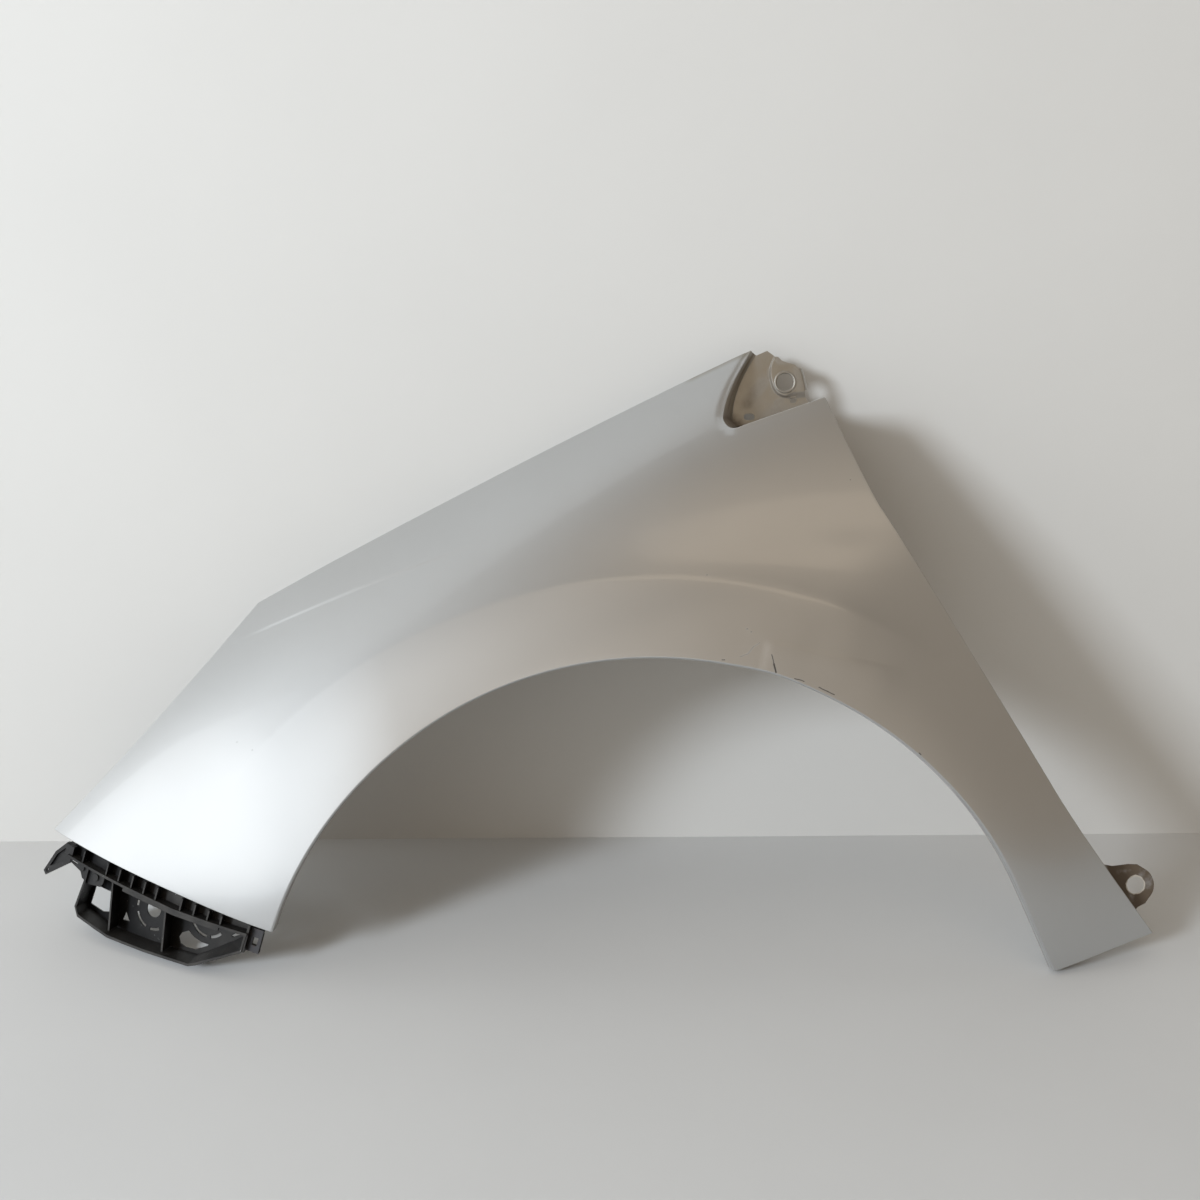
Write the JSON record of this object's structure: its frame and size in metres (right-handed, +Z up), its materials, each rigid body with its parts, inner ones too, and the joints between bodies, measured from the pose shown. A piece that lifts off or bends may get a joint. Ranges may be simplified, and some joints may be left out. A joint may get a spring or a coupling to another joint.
{
  "type": "car front fender",
  "caption": "Left front fender of a small car: pressed sheet with a flared wheel arch, folded flanges, a bolt pad and a lower lug, carrying the black bumper bracket under its nose.",
  "frame": {"origin": "on the inboard face of the pillar pad, beside its bolt hole, where the pad rests on the body", "axes": "+X towards the car's rear, +Y inboard along the pad's outward normal, +Z up"},
  "size_m": [1.0347, 0.1975, 0.6488],
  "materials": {
    "silver_paint": "metallic silver with clear coat, scratched and chipped at the arch",
    "black_plastic": "moulded, slightly dusty",
    "black_steel": "dark phosphate",
    "screw_steel": "dull zinc"
  },
  "bodies": {
    "root": {"fender_panel": "silver_paint", "bumper_bracket": "black_plastic", "spring_clip": "black_steel", "front_screw": "screw_steel", "rear_screw": "screw_steel"}
  },
  "joints": []
}
